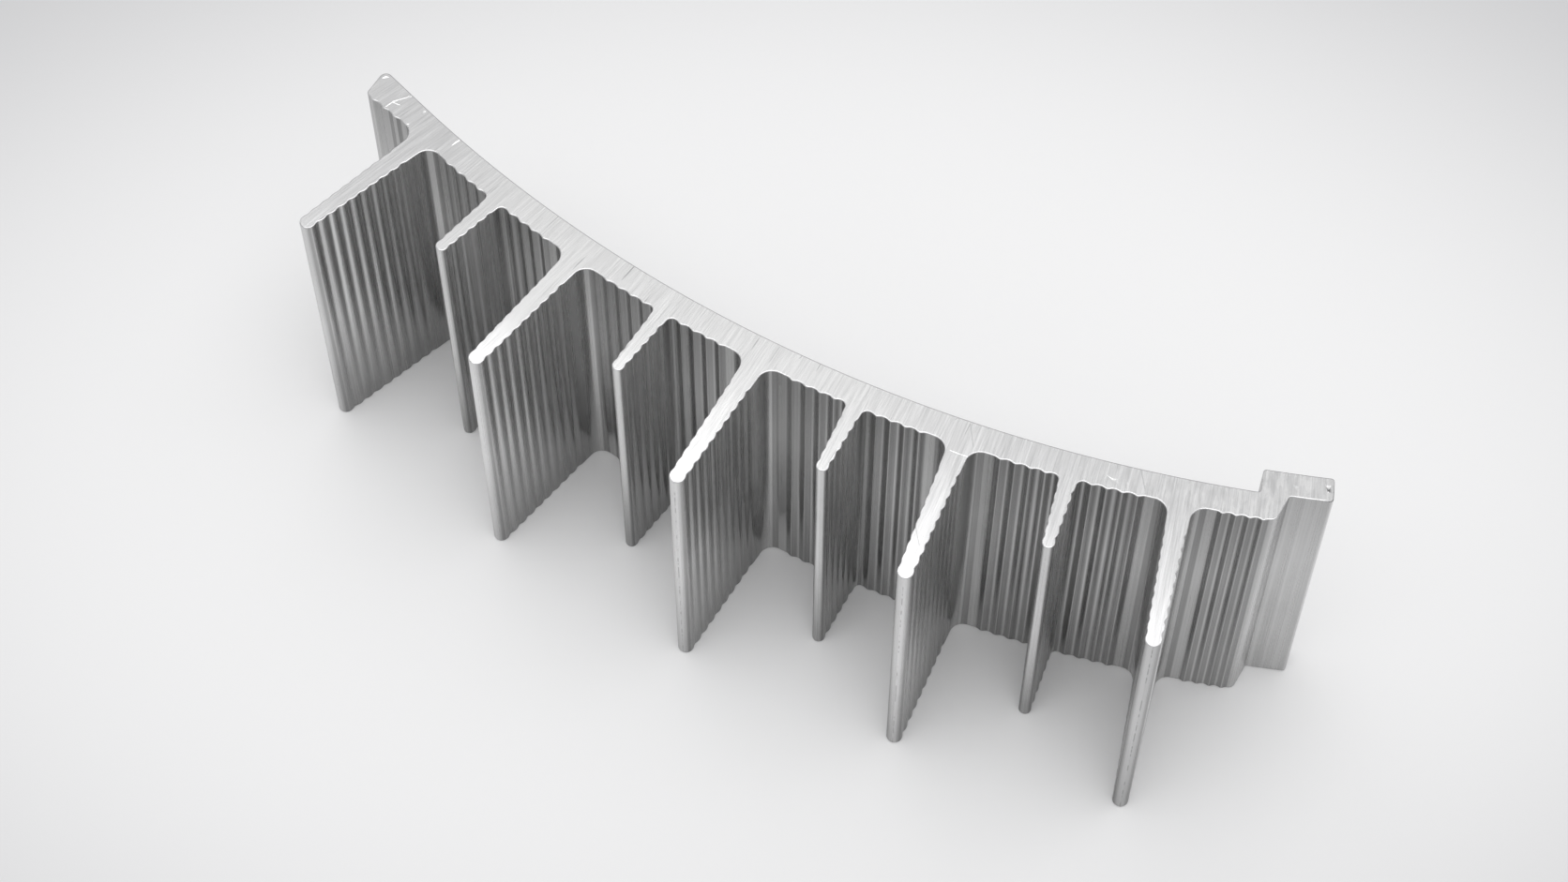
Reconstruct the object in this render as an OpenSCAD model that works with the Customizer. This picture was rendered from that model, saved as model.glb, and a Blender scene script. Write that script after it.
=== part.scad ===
// Curved heat sink segment: one aluminium extrusion, standing on its sawn end.
// Radial fins, tall and short in turn, stand on a base whose concave seat wraps a round
// housing. Fins and base carry lengthwise ripples that add cooling area. At one end the
// base is a straight tongue. At the other it steps in to a flange, on which the tongue of the
// next segment of the ring lies.
// The section is drawn about the ring's axis, with the middle fin along -Y and the flange
// towards +X. The finished part has its origin at the middle of its lower face.

/* [Base] */
// Length that the extrusion is cut to, along Z
cut_l = 40; // [10:1:200]
// Radius of the concave seat
seat_r = 170; // [130:1:300]
// Thickness of the base, from the seat to the valleys of its ripples
base_t = 3.3; // [2.6:0.1:8]

/* [Fins] */
// Number of fins, odd so that one stands at the middle of the base
fin_count = 9; // [3:2:11]
// Spacing of the fins along the outer face of the base
fin_pitch = 12.55; // [10.5:0.05:18]
// Height of a tall fin above the base
tall_h = 18.1; // [12:0.1:30]
// Width of a tall fin at its root
tall_root_w = 2.7; // [2.2:0.05:4]
// Width of a tall fin at its full-round tip
tall_tip_w = 1.9; // [1.2:0.05:2.1]
// Radius of the fillets at the root of a tall fin
tall_fillet_r = 1.7; // [0.3:0.1:2.5]
// Height of a short fin above the base
short_h = 9.3; // [5:0.1:11]
// Width of a short fin at its root
short_root_w = 2.15; // [1.7:0.05:3.5]
// Width of a short fin at its full-round tip
short_tip_w = 1.5; // [1:0.05:1.6]
// Radius of the fillets at the root of a short fin
short_fillet_r = 0.7; // [0.3:0.1:2]

/* [Ripples] */
// Nominal width of a ripple, of which each face holds the nearest whole number
ripple_pitch = 1.6; // [1:0.05:3]
// Height of the ripples that stand on the base
base_ripple_h = 0.22; // [0.1:0.01:0.5]
// Depth of the ripples that are sunk into the sides of the fins towards the flange
fin_ripple_d = 0.17; // [0.05:0.01:0.3]
// Depth of the ripples that are sunk into the sides of the fins towards the tongue
far_ripple_d = 0.1; // [0.02:0.01:0.3]
// Plain strip of the base beside the fillet of a tall fin
base_plain_w = 0.9; // [0:0.1:2]
// Plain strip up the side of a tall fin, between its fillet and its ripples
tall_plain_h = 1.6; // [0:0.1:4]
// Plain strip up the side of a short fin, between its fillet and its ripples
short_plain_h = 0.5; // [0:0.1:1.5]

/* [Tongue] */
// Length of the tongue beyond the root of the first fin
tongue_l = 9.4; // [6:0.1:20]
// Thickness of the tongue at its end, towards which it grows from the thickness of the base
tongue_end_t = 3.8; // [2.6:0.1:8]
// Radius of the tongue's corner at the seat
tongue_seat_r = 0.8; // [0.2:0.1:1.2]
// Radius of the tongue's corner at its outer face
tongue_outer_r = 0.4; // [0.2:0.1:1.2]

/* [Flange] */
// Length of the base beyond the root of the last fin, up to the end wall
land_l = 9.9; // [6:0.1:20]
// Radius of the corner between the base and the end wall
land_corner_r = 0.9; // [0.2:0.1:1.2]
// Thickness of the flange, which lies inside the radius of the seat
flange_t = 3; // [2:0.1:6]
// Length of the flange beyond the end wall
flange_l = 4.8; // [3:0.1:12]
// Length of the flange behind the end wall, where it joins the base
flange_root_l = 3.2; // [2:0.1:6]
// Radius of the fillets where the flange meets the end wall and the seat
flange_fillet_r = 0.4; // [0.2:0.1:1.2]
// Radius of the corners of the flange
flange_corner_r = 0.4; // [0.2:0.1:0.9]

/* [Hidden] */

aluminium = [0.78, 0.79, 0.80];
deg = 180 / PI;
wave_steps = 8;         // straight steps along one ripple
wave_sharpness = 1.5;   // 1 is a plain wave, and more makes its peaks narrower
fillet_steps = 9;       // straight steps round a fillet or a corner
tip_steps = 8;          // straight steps from the top of a fin's tip round to its side
ring_step = 0.5;        // degrees of one straight step along the seat and the flange

base_r = seat_r + base_t;
flange_r = seat_r - flange_t;
fin_angle = fin_pitch / base_r * deg;
last_fin = (fin_count - 1) / 2; // the fins are numbered from -last_fin to last_fin
last_root_x = base_r * sin(last_fin * fin_angle);

// The tongue's end and the end wall are parallel to the middle fin
tongue_x = last_root_x + tongue_l;
wall_x = last_root_x + land_l;

wall_angle = asin(wall_x / seat_r);
flange_end_angle = wall_angle + flange_l / seat_r * deg;
flange_back_angle = wall_angle - flange_root_l / seat_r * deg;

// ---- Circles and arcs ----

// Point at radius r from the ring's axis, a degrees round from the middle fin
function polar(r, a) = [r * sin(a), -r * cos(a)];

// Point at u along the tangent and v out from the ring's axis, seen from direction a
function beside(u, v, a) = polar(v, a) + u * [cos(a), sin(a)];

// Angle of a point round the ring's axis, from the middle fin
function polar_angle(p) = atan2(p[0], -p[1]);

// Shorter way round from direction a to direction b
function turn(a, b) = (b - a + 540) % 360 - 180;

// Arc about centre c from point p towards point q
function arc(c, p, q, steps = fillet_steps) =
    let (start = atan2(p[1] - c[1], p[0] - c[0]),
         sweep = turn(start, atan2(q[1] - c[1], q[0] - c[0])),
         r = norm(p - c))
    [for (k = [0:steps])
        let (a = start + sweep * k / steps)
        c + r * [cos(a), sin(a)]];

// Arc about the ring's axis from angle a to angle b
function ring_arc(r, a, b) =
    let (steps = max(1, ceil(abs(b - a) / ring_step)))
    [for (k = [0:steps]) polar(r, a + (b - a) * k / steps)];

// ---- Ripples ----

// Height of one ripple: 0 at its two ends and 1 in its middle
function wave(t) = pow((1 - cos(360 * t)) / 2, wave_sharpness);

// Straight steps along a rippled face of length l
function face_steps(l) = wave_steps * max(1, round(l / ripple_pitch));

// Outer face of the base from angle a to angle b, with ripples standing on it
function base_face(a, b) =
    let (steps = face_steps(base_r * (b - a) / deg))
    [for (k = [0:steps])
        polar(base_r + base_ripple_h * wave(k / wave_steps), a + (b - a) * k / steps)];

// ---- Fins ----
// A fin is worked out upright: u across it from its centre line, v out from the ring's axis.

function fin_h(tall) = tall ? tall_h : short_h;
function root_w(tall) = tall ? tall_root_w : short_root_w;
function tip_r(tall) = (tall ? tall_tip_w : short_tip_w) / 2;
function fillet_r(tall) = tall ? tall_fillet_r : short_fillet_r;
function plain_h(tall) = tall ? tall_plain_h : short_plain_h;

// A fin's side is a straight line from the root corner, tangent to the round tip
function root_corner(tall) = [root_w(tall) / 2, base_r];
function tip_centre(tall) = [0, base_r + fin_h(tall) - tip_r(tall)];
function side_lean(tall) =
    let (w = tip_centre(tall) - root_corner(tall))
    acos(tip_r(tall) / norm(w)) - atan2(w[1], -w[0]);
function side_along(tall) = [-sin(side_lean(tall)), cos(side_lean(tall))];
function side_out(tall) = [cos(side_lean(tall)), sin(side_lean(tall))];
function side_l(tall) =
    let (w = tip_centre(tall) - root_corner(tall))
    sqrt(w * w - pow(tip_r(tall), 2));

// Point at distance s along the side from the root corner, and h out from it
function side_point(tall, s, h = 0) =
    root_corner(tall) + s * side_along(tall) + h * side_out(tall);

// The root fillet is tangent to the side, at distance fillet_s along it, and to the base
function fillet_s(tall) =
    let (r = fillet_r(tall), p = side_point(tall, 0, r), b = p * side_along(tall))
    sqrt(b * b - p * p + pow(base_r + r, 2)) - b;
function fillet_centre(tall) = side_point(tall, fillet_s(tall), fillet_r(tall));
function fillet_foot(tall) = fillet_centre(tall) * base_r / norm(fillet_centre(tall));

// Rippled side, from the tip down to the plain strip above the fillet
function fin_side(tall, ripple_d) =
    let (top = side_l(tall), bottom = fillet_s(tall) + plain_h(tall),
         steps = face_steps(top - bottom))
    [for (k = [0:steps])
        side_point(tall, top + (bottom - top) * k / steps,
            -ripple_d * wave(k / wave_steps))];

// Half of a fin with its side at positive u, from the top of its tip down to the base
function half_fin(tall, ripple_d) = concat(
    arc(tip_centre(tall), tip_centre(tall) + [0, tip_r(tall)],
        side_point(tall, side_l(tall)), tip_steps),
    fin_side(tall, ripple_d),
    arc(fillet_centre(tall), side_point(tall, fillet_s(tall)), fillet_foot(tall)));

// Every second fin is tall, starting with the first
function is_tall(i) = (last_fin + i) % 2 == 0;

// Fin number i in its place, from its foot towards the tongue over the tip to its other foot
function fin(i) =
    let (near = half_fin(is_tall(i), fin_ripple_d), far = half_fin(is_tall(i), far_ripple_d),
         turned = [for (k = [len(far) - 1:-1:0]) [-far[k][0], far[k][1]]])
    [for (p = concat(turned, near)) beside(p[0], p[1], i * fin_angle)];

// Angle from a fin's centre line to the first ripple of the base beside it
function face_angle(i) =
    let (foot = fillet_foot(is_tall(i)))
    atan2(foot[0], foot[1]) + (is_tall(i) ? base_plain_w / base_r * deg : 0);

// Base between fin i and the next one
function pocket_face(i) =
    base_face(i * fin_angle + face_angle(i), (i + 1) * fin_angle - face_angle(i + 1));

// ---- Ends ----

// The tongue is straight: its seat leaves the ring along the tangent at tongue_angle
tongue_angle = -last_fin * fin_angle - face_angle(-last_fin);
tongue_root = polar(base_r, tongue_angle);

// Corner of the tongue's end at distance v from the ring's axis, seen square to the tongue
function tongue_corner(v) =
    beside((-tongue_x - v * sin(tongue_angle)) / cos(tongue_angle), v, tongue_angle);

// Rounding at corner c of the tongue's end, between the end, which runs off in direction
// way, and the face that runs to point p. The list is as in end_rounding.
function tongue_rounding(c, p, way, r) =
    let (along = (p - c) / norm(p - c), half = acos(along * way) / 2)
    [c + r / sin(half) * (along + way) / norm(along + way),
     c + r / tan(half) * way,
     c + r / tan(half) * along];

// Outer face of the tongue from its end to its root, with ripples standing on it
function tongue_face() =
    let (start = tongue_outer[2], steps = face_steps(norm(tongue_root - start)))
    [for (k = [0:steps])
        start + (tongue_root - start) * k / steps
            + polar(base_ripple_h * wave(k / wave_steps), tongue_angle)];

// Rounding between the plane at x and the circle of radius r about the ring's axis. Its
// centre lies back from the plane and up from the circle by its radius, with either sign.
// The list holds the centre, the tangent point on the plane and the one on the circle.
function end_rounding(x, r, back, up) =
    let (cx = x - sign(x) * back, c = [cx, -sqrt(pow(r + up, 2) - cx * cx)])
    [c, [x, c[1]], c * r / (r + up)];

// The same between the radial face at angle a and the circle of radius r
function radial_rounding(a, r, back, up) =
    let (turned = a - asin(back / (r + up)), reach = sqrt(pow(r + up, 2) - back * back))
    [polar(r + up, turned), polar(reach, a), polar(r, turned)];

// A rounding drawn from its plane to its circle or face, and the other way
function plane_to_circle(e) = arc(e[0], e[1], e[2]);
function circle_to_plane(e) = arc(e[0], e[2], e[1]);

tongue_seat = tongue_rounding(
    tongue_corner(seat_r), polar(seat_r, tongue_angle), [0, -1], tongue_seat_r);
tongue_outer = tongue_rounding(
    tongue_corner(seat_r + tongue_end_t), tongue_root, [0, 1], tongue_outer_r);
land_corner = end_rounding(wall_x, base_r, land_corner_r, -land_corner_r);
wall_fillet = end_rounding(wall_x, seat_r, -flange_fillet_r, flange_fillet_r);
flange_outer = radial_rounding(flange_end_angle, seat_r, flange_corner_r, -flange_corner_r);
flange_inner = radial_rounding(flange_end_angle, flange_r, flange_corner_r, flange_corner_r);
flange_back = radial_rounding(flange_back_angle, flange_r, -flange_corner_r, flange_corner_r);
seat_fillet = radial_rounding(flange_back_angle, seat_r, flange_fillet_r, -flange_fillet_r);

function tongue() = concat(
    circle_to_plane(tongue_seat), plane_to_circle(tongue_outer), tongue_face());

function flange() = concat(
    circle_to_plane(land_corner),
    plane_to_circle(wall_fillet),
    ring_arc(seat_r, polar_angle(wall_fillet[2]), polar_angle(flange_outer[2])),
    circle_to_plane(flange_outer),
    plane_to_circle(flange_inner),
    ring_arc(flange_r, polar_angle(flange_inner[2]), polar_angle(flange_back[2])),
    circle_to_plane(flange_back),
    plane_to_circle(seat_fillet));

// ---- Section ----

// Drops each point that coincides with the one after it
function distinct(points) =
    [for (k = [0:len(points) - 1])
        if (norm(points[k] - points[(k + 1) % len(points)]) > 0.002) points[k]];

section = distinct(concat(
    tongue(),
    fin(-last_fin),
    [for (i = [-last_fin:last_fin - 1]) each concat(pocket_face(i), fin(i + 1))],
    base_face(last_fin * fin_angle + face_angle(last_fin), polar_angle(land_corner[2])),
    flange(),
    ring_arc(seat_r, polar_angle(seat_fillet[2]), tongue_angle)));

section_x = [for (p = section) p[0]];
section_y = [for (p = section) p[1]];
middle = [min(section_x) + max(section_x), min(section_y) + max(section_y)] / 2;

module heat_sink() {
    color(aluminium)
        linear_extrude(height = cut_l)
            translate(-middle)
                polygon(section);
}

heat_sink();
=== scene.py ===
import math
import bmesh
import bpy
from mathutils import Euler, Matrix, Vector
from mathutils.bvhtree import BVHTree


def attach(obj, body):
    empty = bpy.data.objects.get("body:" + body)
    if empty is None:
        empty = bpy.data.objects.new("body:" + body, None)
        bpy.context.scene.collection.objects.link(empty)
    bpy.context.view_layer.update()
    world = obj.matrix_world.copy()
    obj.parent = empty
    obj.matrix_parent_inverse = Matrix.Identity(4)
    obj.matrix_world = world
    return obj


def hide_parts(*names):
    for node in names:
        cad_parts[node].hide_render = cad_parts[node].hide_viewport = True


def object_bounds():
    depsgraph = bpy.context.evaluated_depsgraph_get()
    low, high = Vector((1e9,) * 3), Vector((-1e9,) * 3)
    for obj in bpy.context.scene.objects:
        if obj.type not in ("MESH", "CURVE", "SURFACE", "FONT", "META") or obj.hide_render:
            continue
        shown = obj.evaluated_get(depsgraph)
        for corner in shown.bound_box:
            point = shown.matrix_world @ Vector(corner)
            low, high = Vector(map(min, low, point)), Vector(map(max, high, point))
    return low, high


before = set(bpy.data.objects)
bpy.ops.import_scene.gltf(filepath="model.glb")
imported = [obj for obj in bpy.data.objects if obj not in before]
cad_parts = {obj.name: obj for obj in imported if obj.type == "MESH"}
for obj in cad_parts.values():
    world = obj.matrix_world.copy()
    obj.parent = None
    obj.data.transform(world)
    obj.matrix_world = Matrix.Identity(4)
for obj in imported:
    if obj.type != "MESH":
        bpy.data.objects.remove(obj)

mm = 0.001
cadLow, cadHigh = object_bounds()
centre = (cadLow + cadHigh) / 2
halfCut = (cadHigh.z - cadLow.z) / 2  # half of the length that was sawn off
print("frame loaded, box", [round(v / mm, 2) for v in cadHigh - cadLow], "mm")


# Short ways of adding shader nodes
def addNode(tree, kind, inputs=None, **settings):
    made = tree.nodes.new("ShaderNode" + kind)
    for name, value in settings.items():
        setattr(made, name, value)
    for name, value in (inputs or {}).items():
        if isinstance(value, bpy.types.NodeSocket):
            tree.links.new(value, made.inputs[name])
        else:
            made.inputs[name].default_value = value
    return made


def maths(tree, operation, first, second=0.0, clamp=False):
    made = addNode(tree, "Math", {0: first, 1: second}, operation=operation)
    made.use_clamp = clamp
    return made.outputs[0]


def vectorMaths(tree, operation, first, second, result="Vector"):
    return addNode(tree, "VectorMath", {0: first, 1: second}, operation=operation).outputs[result]


def remap(tree, value, low, high, toLow=0.0, toHigh=1.0):
    values = {"Value": value, "From Min": low, "From Max": high, "To Min": toLow, "To Max": toHigh}
    return addNode(tree, "MapRange", values).outputs["Result"]


def scaled(tree, vector, scale, turn=0.0):
    values = {"Vector": vector, "Rotation": (0, 0, math.radians(turn)), "Scale": scale}
    return addNode(tree, "Mapping", values).outputs["Vector"]


def noise(tree, vector, detail, rough):
    values = {"Vector": vector, "Scale": 1.0, "Detail": detail, "Roughness": rough}
    return addNode(tree, "TexNoise", values).outputs["Fac"]


def grain(tree, vector, size, turn, detail, rough):
    return noise(tree, scaled(tree, vector, [1 / s for s in size], turn), detail, rough)


def weave(tree, vector, patterns):
    # Grains of different sizes added up by their shares, and the grains themselves
    layers, total = [], None
    for *pattern, share in patterns:
        layers.append(grain(tree, vector, *pattern))
        part = maths(tree, "MULTIPLY", layers[-1], share)
        total = part if total is None else maths(tree, "ADD", total, part)
    return total, layers


def mixColour(tree, amount, first, second, blend="MIX"):
    made = addNode(tree, "Mix", data_type="RGBA", blend_type=blend)
    sockets = made.inputs[0], made.inputs[6], made.inputs[7]  # the factor and the two colours
    for socket, value in zip(sockets, (amount, first, second)):
        if isinstance(value, bpy.types.NodeSocket):
            tree.links.new(value, socket)
        elif isinstance(value, float):
            socket.default_value = value
        else:
            socket.default_value = (*value, 1)
    return made.outputs[2]


def newMaterial(name):
    material = bpy.data.materials.new(name)
    material.use_nodes = True
    tree = material.node_tree
    return material, tree, tree.nodes["Principled BSDF"]


view = {
    "azimuth": 29.77,     # degrees round the part, 0 looks along +Y
    "elevation": 58.534,  # degrees above the floor
    "roll": 0.195,
    "distance": 0.38405,
    "lens": 74.93,
    "aside": (-0.57 * mm, 2.97 * mm, 0),  # from the middle of the part to the point looked at
}


def makeCamera():
    turned = Euler((math.radians(90 - view["elevation"]), 0, math.radians(view["azimuth"]))).to_matrix()
    turned = turned @ Euler((0, 0, math.radians(view["roll"]))).to_matrix()
    lens = bpy.data.cameras.new("camera")
    lens.lens = view["lens"]
    lens.sensor_width = 36
    lens.clip_start = 0.01
    camera = bpy.data.objects.new("camera", lens)
    aim = centre + Vector(view["aside"])
    camera.matrix_world = turned.to_4x4()
    camera.location = aim + turned @ Vector((0, 0, view["distance"]))
    bpy.context.scene.collection.objects.link(camera)
    bpy.context.scene.camera = camera


makeCamera()
print("camera made")


# The brighter middle is a painted highlight, set in one view, and it stays under any light
sawn = {
    "pole": (-2.4 * mm, 173.1 * mm),    # the saw lines run towards the axis of the ring
    "colour": (0.90, 0.90, 0.905),
    "dark": (0.74, 0.74, 0.745),
    "middleColour": (0.99, 0.99, 0.99),  # the same two along the painted highlight in the middle
    "middleDark": (0.87, 0.87, 0.87),
    "middleFrom": (-50 * mm, -36 * mm),
    "middleTo": (28 * mm, 8 * mm),
    "scoured": (0.50, 0.50, 0.505),     # colour of the odd dark line and of the scratches
    "smeared": (0.97, 0.97, 0.97),      # and of the burrs and bright smears
    "roughness": (0.12, 0.18),
    "torn": (28 * mm, 58 * mm),         # from the first of these to the second the cut turns patchy
    "tornBand": (174 * mm, 176 * mm),   # distances from the pole over which that fades out
    "deep": (0.08, 0.08, 0.08),         # painted shade at the bottom of a deep pit
    "pitDark": (0.10 * mm, 0.32 * mm),  # depths over which the painted shade in a pit grows
    # Saw lines: size across, along and up, turn in degrees, detail, roughness and their share
    "streaks": [
        ((0.08 * mm, 6 * mm, 1), 3, 3.0, 0.6, 0.3),
        ((0.15 * mm, 4 * mm, 1), -8, 2.0, 0.5, 0.35),
        ((0.45 * mm, 8 * mm, 1), 2, 2.0, 0.5, 0.35),
    ],
    "oddLines": ((0.28 * mm, 5 * mm, 1), -2, 1.0, 0.4),
    "tears": ((0.9 * mm, 2.4 * mm, 1), 12, 2.0, 0.5),
}

# Marks in the upper sawn end, in mm across the part: dark scratches, and burrs and smears, which
# stand up bright. Each has its half width and the points that it runs through.
marks = {
    "scratches": [
        (0.07, [(22.9, -9.4), (24.8, -11.8)]),
        (0.06, [(23.3, -12.3), (23.9, -13.1)]),
        (0.06, [(22.4, 3.2), (22.3, 4.6), (24.0, 2.1)]),
        (0.08, [(41.4, 8.7), (42.8, 6.8)]),
        (0.05, [(-1.1, 0.5), (-1.1, 2.9)]),
        (0.08, [(1.6, 2.7), (1.7, 3.1)]),
        (0.08, [(20.6, 4.3), (20.8, 4.8)]),
        (0.08, [(24.3, 5.0), (24.4, 5.4)]),
    ],
    "burrs": [
        (0.07, [(22.0, 0.5), (23.2, 0.6), (24.2, 0.8)]),
        (0.16, [(-58.2, 9.1), (-57.9, 10.0), (-57.2, 10.9), (-56.5, 11.7)]),
        (0.10, [(-58.0, 9.9), (-57.0, 10.0)]),
        (0.12, [(-55.1, 7.6), (-54.5, 8.2)]),
        (0.10, [(-54.8, 7.5), (-54.4, 7.9)]),
        (0.20, [(-53.9, 10.6), (-53.8, 10.7)]),
    ],
    "pits": [  # the depth of the middle of each, which is a guess, and its corners
        (0.32, [(59.7, 17.1), (60.35, 17.35), (60.85, 16.55), (60.35, 16.4)]),
        (0.006, [(38.3, 6.3), (39.0, 6.2), (39.7, 6.4), (40.2, 5.85), (39.6, 5.55), (39.0, 5.75)]),
        (0.006, [(40.45, 6.8), (41.0, 6.45), (41.25, 5.65), (40.85, 5.85)]),
        (0.008, [(56.6, 15.4), (57.3, 15.45), (57.55, 14.6), (57.0, 14.8)]),
        (0.05, [(-60.95, 12.2), (-60.7, 12.75), (-60.25, 12.75), (-60.35, 12.45)]),
        (0.05, [(-48.4, 7.95), (-48.25, 8.7), (-48.05, 9.2), (-47.85, 9.1), (-48.2, 8.25)]),
    ],
}


def strokeMask(tree, place, width, points):
    # 1 on the line through the points, and 0 from the given distance beside it
    total = None
    for a, b in zip(points, points[1:]):
        start, run = Vector((*a, 0)) * mm, Vector((b[0] - a[0], b[1] - a[1], 0)) * mm
        off = vectorMaths(tree, "SUBTRACT", place, start)
        part = vectorMaths(tree, "DOT_PRODUCT", off, run / run.length_squared, "Value")
        part = maths(tree, "ADD", part, 0.0, clamp=True)
        near = addNode(tree, "VectorMath", {0: run, "Scale": part}, operation="SCALE").outputs["Vector"]
        apart = vectorMaths(tree, "DISTANCE", off, near, "Value")
        mask = remap(tree, apart, 0.0, width * mm, 1.0, 0.0)
        total = mask if total is None else maths(tree, "MAXIMUM", total, mask)
    return total


def allStrokes(tree, place, strokes):
    total = 0.0
    for width, points in strokes:
        total = maths(tree, "MAXIMUM", strokeMask(tree, place, width, points), total)
    return total


def tornColour(tree, colour, lines, fromPole, x, upper):
    torn = grain(tree, lines, *sawn["tears"])
    tearing = maths(tree, "MULTIPLY", remap(tree, x, *sawn["torn"]), upper)
    tearing = maths(tree, "MULTIPLY", tearing, remap(tree, fromPole, *sawn["tornBand"], 1.0, 0.0))
    smeared = maths(tree, "MULTIPLY", remap(tree, torn, 0.54, 0.60), tearing)
    gouged = maths(tree, "MULTIPLY", remap(tree, torn, 0.46, 0.40), tearing)
    colour = mixColour(tree, maths(tree, "MULTIPLY", smeared, 0.6), colour, sawn["smeared"])
    return mixColour(tree, maths(tree, "MULTIPLY", gouged, 0.25), colour, sawn["scoured"])


def sawnFinish():
    material, tree, surface = newMaterial("sawnAluminium")
    place = addNode(tree, "TexCoord").outputs["Object"]
    split = addNode(tree, "SeparateXYZ", {"Vector": place}).outputs
    x = maths(tree, "SUBTRACT", split["X"], sawn["pole"][0])
    y = maths(tree, "SUBTRACT", sawn["pole"][1], split["Y"])
    across = maths(tree, "MULTIPLY", maths(tree, "ARCTAN2", x, y), sawn["pole"][1])
    lines = addNode(tree, "CombineXYZ", {"X": across, "Y": y}).outputs["Vector"]
    streaks, layers = weave(tree, lines, sawn["streaks"])
    # A painted highlight along the middle of the cut
    inMiddle = maths(tree, "MULTIPLY", remap(tree, split["X"], *sawn["middleFrom"]),
                  remap(tree, split["X"], *sawn["middleTo"]))
    dark = mixColour(tree, inMiddle, sawn["dark"], sawn["middleDark"])
    bright = mixColour(tree, inMiddle, sawn["colour"], sawn["middleColour"])
    colour = mixColour(tree, remap(tree, streaks, 0.37, 0.61), dark, bright)
    odd = grain(tree, lines, *sawn["oddLines"])
    colour = mixColour(tree, remap(tree, odd, 0.70, 0.80, 0.0, 0.7), colour, sawn["scoured"])

    # The marks and the tearing are only in the upper end
    upper = remap(tree, split["Z"], halfCut, halfCut + mm)
    flat = addNode(tree, "CombineXYZ", {"X": split["X"], "Y": split["Y"]}).outputs["Vector"]
    fromPole = addNode(tree, "CombineXYZ", {"X": x, "Y": y}).outputs["Vector"]
    fromPole = vectorMaths(tree, "LENGTH", fromPole, (0, 0, 0), "Value")
    colour = tornColour(tree, colour, lines, fromPole, split["X"], upper)
    scratch = maths(tree, "MULTIPLY", allStrokes(tree, flat, marks["scratches"]), upper)
    burr = maths(tree, "MULTIPLY", allStrokes(tree, flat, marks["burrs"]), upper)
    burr = maths(tree, "MULTIPLY", burr, remap(tree, layers[0], 0.40, 0.56, 0.15, 1.0))
    colour = mixColour(tree, maths(tree, "MULTIPLY", scratch, 0.7), colour, sawn["scoured"])
    colour = mixColour(tree, burr, colour, sawn["smeared"])

    # Painted shade in the pits grows dark with their depth under either end
    fromMiddle = maths(tree, "ABSOLUTE", maths(tree, "SUBTRACT", split["Z"], halfCut))
    deep = remap(tree, fromMiddle, halfCut - sawn["pitDark"][1], halfCut - sawn["pitDark"][0], 0.8, 0.0)
    colour = mixColour(tree, deep, colour, sawn["deep"])
    tree.links.new(colour, surface.inputs["Base Color"])
    tree.links.new(remap(tree, streaks, 0.3, 0.7, *sawn["roughness"]), surface.inputs["Roughness"])

    bump = addNode(tree, "Bump", {"Height": streaks, "Strength": 0.3, "Distance": 0.006 * mm})
    bump = addNode(tree, "Bump", {"Height": burr, "Strength": 1.0, "Distance": 0.01 * mm,
                                  "Normal": bump.outputs["Normal"]})
    tree.links.new(bump.outputs["Normal"], surface.inputs["Normal"])
    surface.inputs["Metallic"].default_value = 1.0
    return material


# The changes of colour with height, the darker channels, the dark shoulders and the darker tips are
# painted shade.
# They were set by comparing brightness in one view, and they stay under any light.
extruded = {
    "open": (0.86, 0.86, 0.86),      # colour of faces that stand free
    "openFoot": (0.60, 0.60, 0.60),  # and of their foot, darker by painted shade
    "side": (0.78, 0.78, 0.778),     # colour of the fins in the channels, darker than free faces by painted shade
    "sideFoot": (0.38, 0.38, 0.379),
    "base": (0.60, 0.60, 0.598),     # colour of the floors of the channels, darker by painted shade
    "baseTop": (0.45, 0.45, 0.448),
    "tipDark": (0.12, 0.12, 0.12),   # dark colour mixed into the tips of the fins, as painted shade and as the dashed seam
    "foot": (2 * mm, 20 * mm),       # heights between which the painted shade at the foot fades out
    "baseTopFrom": (26 * mm, 39 * mm),  # and between which painted shade darkens the channel floors
    "shoulder": 0.48,                # how dark the painted shade on the shoulders of the fins' round tips is
    "tipShade": (0.08, 0.24),        # how dark the painted shade on the tips of the first fin and the last one is
    "firstFin": (-49 * mm, -51 * mm),
    "lastFin": (43 * mm, 45 * mm),
    "lineDark": 0.70,                # share of the colour that the darkest die lines keep
    "roughness": (0.24, 0.31),
    "drawn": 0.90,                   # how far highlights are drawn out lengthwise
    "flank": 0.60,                   # share of the colour that the flanks of the base's ripples keep under painted shade
    "axis": (-2.426 * mm, 173.142 * mm, 0),  # of the ring that such lengths make up
    # Distances from that axis, across which the colours and the painted shade change
    "baseRipples": (173.3 * mm, 173.52 * mm),
    "finFoot": (174 * mm, 175 * mm),
    "shortTip": (181.7 * mm, 181.9 * mm),
    "shortTipEnd": (182.8 * mm, 182.7 * mm),
    "tipShadeFrom": (189.4 * mm, 190.2 * mm),
    "tallTip": (190.0 * mm, 190.4 * mm),
    # A line of dark dashes down the round tips of the last three tall fins
    "seamFrom": (-8 * mm, -7 * mm),
    "seamBeside": 0.12,              # sine of its angle from the middle of the tip
    "seamWidth": (0.02, 0.09),
    "seamDark": 0.45,
    "dashes": ((8 * mm, 8 * mm, 1.3 * mm), 5, 2.0, 0.6),
    # Die lines and, last, broad patches: their size in three ways, turn, detail, roughness and share
    "lines": [
        ((0.16 * mm, 0.16 * mm, 70 * mm), 0, 2.0, 0.6, 0.25),
        ((0.9 * mm, 0.9 * mm, 120 * mm), 0, 2.0, 0.5, 0.40),
        ((0.06 * mm, 0.06 * mm, 40 * mm), 0, 1.0, 0.5, 0.15),
        ((5 * mm, 5 * mm, 12 * mm), 0, 3.0, 0.5, 0.2),
    ],
}


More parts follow.
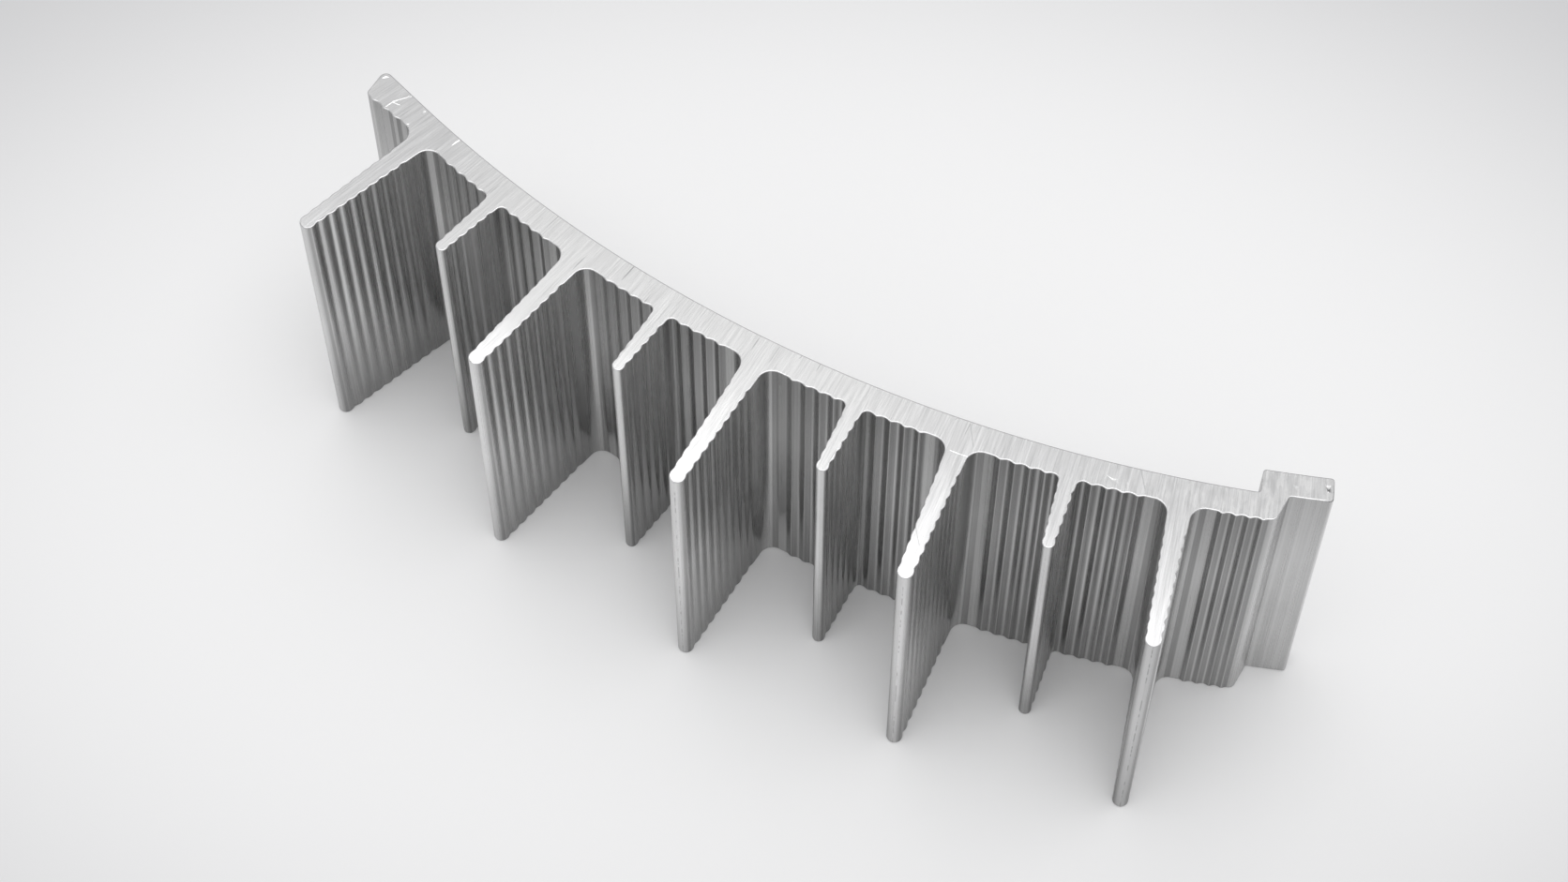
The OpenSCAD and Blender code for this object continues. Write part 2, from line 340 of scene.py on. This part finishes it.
def wallColour(tree, split, radius):
    # Painted shade: darker in the channels than where the part stands free. The fins grow darker towards
    # the foot, and the floors of the channels towards the top, also as painted shade.
    free = addNode(tree, "Attribute", attribute_name="openness").outputs["Fac"]
    foot = remap(tree, split["Z"], *extruded["foot"])
    side = mixColour(tree, foot, extruded["sideFoot"], extruded["side"])
    top = remap(tree, split["Z"], *extruded["baseTopFrom"])
    base = mixColour(tree, top, extruded["base"], extruded["baseTop"])
    channel = mixColour(tree, remap(tree, radius, *extruded["finFoot"]), base, side)
    freeSide = mixColour(tree, foot, extruded["openFoot"], extruded["open"])
    metal = mixColour(tree, remap(tree, free, 0.55, 1.0), channel, freeSide)
    # Painted shade on the tips of the first fin and the last one
    firstFin = remap(tree, split["X"], *extruded["firstFin"], 0.0, extruded["tipShade"][0])
    lastFin = remap(tree, split["X"], *extruded["lastFin"], 0.0, extruded["tipShade"][1])
    dullAndShade = maths(tree, "ADD", firstFin, lastFin)
    dullAndShade = maths(tree, "MULTIPLY", dullAndShade, remap(tree, radius, *extruded["tipShadeFrom"]))
    return mixColour(tree, dullAndShade, metal, extruded["tipDark"])


def tipColour(tree, metal, place, level, split, radius):
    # Painted shade on the shoulders of the fins' round tips, and the dashed seam
    away = vectorMaths(tree, "SUBTRACT", level, extruded["axis"])
    away = vectorMaths(tree, "NORMALIZE", away, (0, 0, 0))
    normal = addNode(tree, "TexCoord").outputs["Normal"]
    facing = vectorMaths(tree, "DOT_PRODUCT", away, normal, "Value")
    beside = vectorMaths(tree, "CROSS_PRODUCT", away, normal)
    beside = addNode(tree, "SeparateXYZ", {"Vector": beside}).outputs["Z"]
    tallTip = remap(tree, radius, *extruded["tallTip"])
    shortTip = maths(tree, "MULTIPLY", remap(tree, radius, *extruded["shortTip"]),
                     remap(tree, radius, *extruded["shortTipEnd"]))
    shoulder = maths(tree, "MULTIPLY", remap(tree, facing, 0.25, 0.40), remap(tree, facing, 0.90, 0.60))
    shoulder = maths(tree, "MULTIPLY", shoulder, maths(tree, "MAXIMUM", tallTip, shortTip))
    shoulder = maths(tree, "MULTIPLY", shoulder, extruded["shoulder"])
    metal = mixColour(tree, shoulder, metal, extruded["tipDark"])
    dashes = grain(tree, place, *extruded["dashes"])
    seam = maths(tree, "ABSOLUTE", maths(tree, "SUBTRACT", beside, extruded["seamBeside"]))
    seam = remap(tree, seam, *extruded["seamWidth"], extruded["seamDark"], 0.0)
    seam = maths(tree, "MULTIPLY", seam, remap(tree, dashes, 0.50, 0.56))
    seam = maths(tree, "MULTIPLY", seam, maths(tree, "MULTIPLY", tallTip, remap(tree, facing, 0.5, 0.6)))
    seam = maths(tree, "MULTIPLY", seam, remap(tree, split["X"], *extruded["seamFrom"]))
    return mixColour(tree, seam, metal, extruded["tipDark"])


def extrudedFinish():
    material, tree, surface = newMaterial("extrudedAluminium")
    place = addNode(tree, "TexCoord").outputs["Object"]
    split = addNode(tree, "SeparateXYZ", {"Vector": place}).outputs
    level = vectorMaths(tree, "MULTIPLY", place, (1, 1, 0))
    radius = vectorMaths(tree, "DISTANCE", level, extruded["axis"], "Value")
    metal = wallColour(tree, split, radius)
    metal = tipColour(tree, metal, place, level, split, radius)
    lines = weave(tree, place, extruded["lines"])[0]
    shade = remap(tree, lines, 0.36, 0.62, extruded["lineDark"], 1.0)

    # 0 in the valleys of the base's ripples and 1 on their crests
    valley, crest = extruded["baseRipples"]
    height = maths(tree, "DIVIDE", maths(tree, "SUBTRACT", radius, valley), crest - valley)
    # Painted shade on the flanks of the base's ripples
    flank = maths(tree, "MULTIPLY", remap(tree, height, 0.005, 0.06), remap(tree, height, 0.99, 0.92))
    shade = maths(tree, "MULTIPLY", shade, remap(tree, flank, 0.0, 1.0, 1.0, extruded["flank"]))
    grey = addNode(tree, "CombineColor", {"Red": shade, "Green": shade, "Blue": shade}).outputs["Color"]
    tree.links.new(mixColour(tree, 1.0, metal, grey, "MULTIPLY"), surface.inputs["Base Color"])
    tree.links.new(remap(tree, lines, 0.3, 0.7, *extruded["roughness"]), surface.inputs["Roughness"])
    bump = addNode(tree, "Bump", {"Height": lines, "Strength": 0.4, "Distance": 0.01 * mm})
    tree.links.new(bump.outputs["Normal"], surface.inputs["Normal"])
    along = addNode(tree, "Tangent", direction_type="UV_MAP", uv_map="lengthwise")
    tree.links.new(along.outputs["Tangent"], surface.inputs["Tangent"])
    surface.inputs["Anisotropic"].default_value = extruded["drawn"]
    surface.inputs["Metallic"].default_value = 1.0
    return material


rim = {
    "bright": (0.78, 0.78, 0.785),
    "dullAndShade": (0.58, 0.58, 0.585),
    "dark": (0.30, 0.30, 0.305),   # colour of the dark stretches: painted shade along the seat and the lower end
    "darkWay": (-0.42, 0.91, 0),   # the way that those face
    "darkPast": (60.5 * mm, 61 * mm),  # past this, at the end of the flange, all of it is dark
    "patch": 0.8 * mm,              # size of the dull stretches
    "roughness": (0.22, 0.34),
}


def rimFinish():
    material, tree, surface = newMaterial("sawnRim")
    where = addNode(tree, "TexCoord")
    dullAndShade = noise(tree, scaled(tree, where.outputs["Object"], (1 / rim["patch"],) * 3), 2.0, 0.5)
    colour = mixColour(tree, remap(tree, dullAndShade, 0.3, 0.7), rim["dullAndShade"], rim["bright"])
    # Painted shade on the rims that face the seat and on those of the lower end; past the end of the
    # flange the rim is dark all round
    facing = vectorMaths(tree, "DOT_PRODUCT", where.outputs["Normal"], rim["darkWay"], "Value")
    dark = remap(tree, facing, 0.05, 0.45)
    split = addNode(tree, "SeparateXYZ", {"Vector": where.outputs["Object"]}).outputs
    lower = remap(tree, split["Z"], halfCut - mm, halfCut + mm, 1.0, 0.0)
    dark = maths(tree, "MAXIMUM", dark, lower)
    dark = maths(tree, "MAXIMUM", dark, remap(tree, split["X"], *rim["darkPast"]))
    colour = mixColour(tree, dark, colour, rim["dark"])
    tree.links.new(colour, surface.inputs["Base Color"])
    tree.links.new(remap(tree, dullAndShade, 0.3, 0.7, *rim["roughness"]), surface.inputs["Roughness"])
    surface.inputs["Metallic"].default_value = 1.0
    return material


body = {
    "rimWidth": 0.11 * mm,  # width of the rounding along the sawn edges
    "rimSteps": 3,
    "rays": 24,             # sent out level from each point to find how open it lies
    "rayLift": 0.02 * mm,
    "mapSize": 100 * mm,    # length of one side of the map
}


def isCap(face):
    return abs(face.normal.z) > 0.999


def cleanProfile(mesh):
    # Turns loose triangles into one face for each end and one strip for each step of the outline
    bmesh.ops.remove_doubles(mesh, verts=mesh.verts, dist=0.001 * mm)
    mesh.normal_update()
    for up in (True, False):
        cap = [f for f in mesh.faces if isCap(f) and (f.normal.z > 0) == up]
        bmesh.ops.dissolve_faces(mesh, faces=cap)
    slanted = []
    for edge in mesh.edges:
        along = edge.verts[1].co - edge.verts[0].co
        if abs(along.z) > mm and along.xy.length > 0.0005 * mm:
            slanted.append(edge)
    bmesh.ops.dissolve_edges(mesh, edges=slanted, use_verts=False)
    bmesh.ops.recalc_face_normals(mesh, faces=mesh.faces)


def roundRims(mesh):
    rims = [e for e in mesh.edges if sum(isCap(f) for f in e.link_faces) == 1]
    bmesh.ops.bevel(mesh, geom=rims, offset=body["rimWidth"], offset_type="OFFSET", affect="EDGES",
                    segments=body["rimSteps"], profile=0.5, material=-1, clamp_overlap=False)
    mesh.normal_update()


def measureOpenness(mesh):
    # Share of level rays from each point of the outline that get away from the part
    tree = BVHTree.FromBMesh(mesh)
    layer = mesh.verts.layers.float.new("openness")
    height = centre.z
    for vert in mesh.verts:
        out = Vector((vert.normal.x, vert.normal.y, 0)).normalized()
        start = Vector((vert.co.x, vert.co.y, height)) + out * body["rayLift"]
        away = 0
        for k in range(body["rays"]):
            turn = math.radians(180 * (k + 0.5) / body["rays"] - 90)
            way = Matrix.Rotation(turn, 3, "Z") @ out
            away += tree.ray_cast(start, way)[0] is None
        vert[layer] = away / body["rays"]


def holdsPoint(face, x, y):
    inside = False
    corners = [v.co for v in face.verts]
    for a, b in zip(corners, corners[1:] + corners[:1]):
        if (a.y > y) != (b.y > y) and x < a.x + (y - a.y) / (b.y - a.y) * (b.x - a.x):
            inside = not inside
    return inside


def cycle(items, first, last):
    # The items of a closed ring from one place round to another
    count = (last - first) % len(items)
    return [items[(first + k) % len(items)] for k in range(count + 1)]


def cutPits(mesh):
    # Two cuts join each pit to the rim, so the end splits into a face on either side of it
    made = []
    for depth, corners in marks["pits"]:
        area = sum(a[0] * b[1] - b[0] * a[1] for a, b in zip(corners, corners[1:] + corners[:1]))
        corners = corners if area > 0 else corners[::-1]
        tops = [f for f in mesh.faces if isCap(f) and f.normal.z > 0]
        top = next(f for f in tops if holdsPoint(f, corners[0][0] * mm, corners[0][1] * mm))
        rim = [loop.vert for loop in top.loops]
        ring = [mesh.verts.new((x * mm, y * mm, cadHigh.z)) for x, y in corners]
        inner, outer = [], []
        for side in (1, -1):  # towards the seat, and away from it
            end = max(ring, key=lambda v: side * v.co.y)
            beyond = [v for v in rim if side * (v.co.y - end.co.y) > 0]
            inner.append(ring.index(end))
            outer.append(rim.index(min(beyond, key=lambda v: (v.co - end.co).length)))
        back = ring[::-1]
        turned = [len(ring) - 1 - k for k in inner]
        mesh.faces.remove(top)
        mesh.faces.new(cycle(rim, outer[0], outer[1]) + cycle(back, turned[1], turned[0]))
        mesh.faces.new(cycle(rim, outer[1], outer[0]) + cycle(back, turned[0], turned[1]))
        level = sum((v.co for v in ring), Vector()) / len(ring)
        middle = mesh.verts.new(level - Vector((0, 0, depth * mm)))
        for first, second in zip(ring, ring[1:] + ring[:1]):
            made.append(mesh.faces.new((first, second, middle)))
        mesh.normal_update()
    print("pits:", len(marks["pits"]), "cut with", len(made), "faces")
    return set(made)


def finishFaces(mesh, pits):
    # Slots: 0 extruded sides, 1 sawn ends and their pits, 2 the rims between them
    for face in mesh.faces:
        sawnFace = isCap(face) or face in pits
        drawnFace = abs(face.normal.z) < 0.001
        face.material_index = 1 if sawnFace else 0 if drawnFace else 2
        face.smooth = not sawnFace
    for edge in mesh.edges:
        edge.smooth = len({f.material_index for f in edge.link_faces}) == 1


def unrollSides(mesh):
    # The map's first direction runs lengthwise, and its second round the outline
    layer = mesh.loops.layers.uv.new("lengthwise")
    for face in mesh.faces:
        up = Vector((0, 0, 1))
        first, second = up, up.cross(face.normal).normalized()
        if isCap(face):
            first, second = Vector((1, 0, 0)), Vector((0, 1, 0))
        for loop in face.loops:
            spot = loop.vert.co
            loop[layer].uv = (spot.dot(first) / body["mapSize"], spot.dot(second) / body["mapSize"])


def makeHeatSink():
    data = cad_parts["heat_sink"].data.copy()
    data.name = "heatSink"
    data.materials.clear()
    for finish in (extrudedFinish(), sawnFinish(), rimFinish()):
        data.materials.append(finish)
    mesh = bmesh.new()
    mesh.from_mesh(data)
    cleanProfile(mesh)
    measureOpenness(mesh)
    roundRims(mesh)
    finishFaces(mesh, cutPits(mesh))
    unrollSides(mesh)
    mesh.to_mesh(data)
    mesh.free()
    piece = bpy.data.objects.new("heatSink", data)
    bpy.context.scene.collection.objects.link(piece)
    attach(piece, "root")
    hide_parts("heat_sink")
    print("heat sink:", len(data.vertices), "points,", len(data.polygons), "faces")


makeHeatSink()


studio = {
    "floorSize": 6.0,
    "floorGap": 0.02 * mm,       # between the floor and the foot of the part, so that they don't meet
    "floorColour": (0.88, 0.88, 0.885),
    "floorFar": (0.59, 0.59, 0.60),
    "floorFade": (0.2, 3.2),     # squares of the distances over which the one becomes the other
    "poolShift": (0, 10 * mm),   # its middle from the point looked at, across and away
    "pool": (92 * mm, 63 * mm),  # reach of the pale middle of the floor, a painted pool of light, across and away
    "skyLight": 0.60,            # strength of the world as light
    "skySeen": 0.67,             # and as the metal and the camera see it
    "lampPlace": (0.05, -0.088, 1.0),
    "lampTurn": 6,               # degrees
    "lampSize": (1.10, 1.16),
    "lampPower": 6.4,
}


def makeFloor():
    mesh = bmesh.new()
    bmesh.ops.create_grid(mesh, x_segments=1, y_segments=1, size=studio["floorSize"] / 2)
    data = bpy.data.meshes.new("floor")
    mesh.to_mesh(data)
    mesh.free()
    floor = bpy.data.objects.new("floor", data)
    floor.location = (0, 0, cadLow.z - studio["floorGap"])
    bpy.context.scene.collection.objects.link(floor)
    material, tree, surface = newMaterial("paleFloor")
    place = addNode(tree, "TexCoord").outputs["Object"]
    heading = Matrix.Rotation(math.radians(view["azimuth"]), 2)
    middle = Vector(view["aside"]).xy + heading @ Vector(studio["poolShift"])
    moved = vectorMaths(tree, "SUBTRACT", place, (*middle, 0))
    turned = scaled(tree, moved, (1, 1, 1), -view["azimuth"])
    reach = scaled(tree, turned, (1 / studio["pool"][0], 1 / studio["pool"][1], 0))
    squared = vectorMaths(tree, "DOT_PRODUCT", reach, reach, "Value")
    near, far = studio["floorFade"]
    fade = addNode(tree, "MapRange", {"Value": squared, "From Min": near, "From Max": far},
                   interpolation_type="SMOOTHSTEP").outputs["Result"]
    # The floor is painted paler in the middle than far out: a painted pool of light
    colour = mixColour(tree, fade, studio["floorColour"], studio["floorFar"])
    tree.links.new(colour, surface.inputs["Base Color"])
    surface.inputs["Roughness"].default_value = 0.9
    surface.inputs["Specular IOR Level"].default_value = 0.1
    data.materials.append(material)


def makeLight():
    world = bpy.data.worlds.new("studio")
    world.use_nodes = True
    tree = world.node_tree
    air = tree.nodes["Background"]
    air.inputs["Color"].default_value = (1, 1, 1, 1)
    rays = addNode(tree, "LightPath")
    seen = maths(tree, "MAXIMUM", rays.outputs["Is Camera Ray"], rays.outputs["Is Glossy Ray"])
    strength = remap(tree, seen, 0.0, 1.0, studio["skyLight"], studio["skySeen"])
    tree.links.new(strength, air.inputs["Strength"])
    bpy.context.scene.world = world

    lamp = bpy.data.lights.new("softbox", "AREA")
    lamp.shape = "RECTANGLE"
    lamp.size, lamp.size_y = studio["lampSize"]
    lamp.energy = studio["lampPower"]
    softbox = bpy.data.objects.new("softbox", lamp)
    softbox.location = studio["lampPlace"]
    softbox.rotation_euler.z = math.radians(studio["lampTurn"])
    bpy.context.scene.collection.objects.link(softbox)


makeFloor()
makeLight()
bpy.context.scene.view_settings.view_transform = "Standard"
print("studio made")
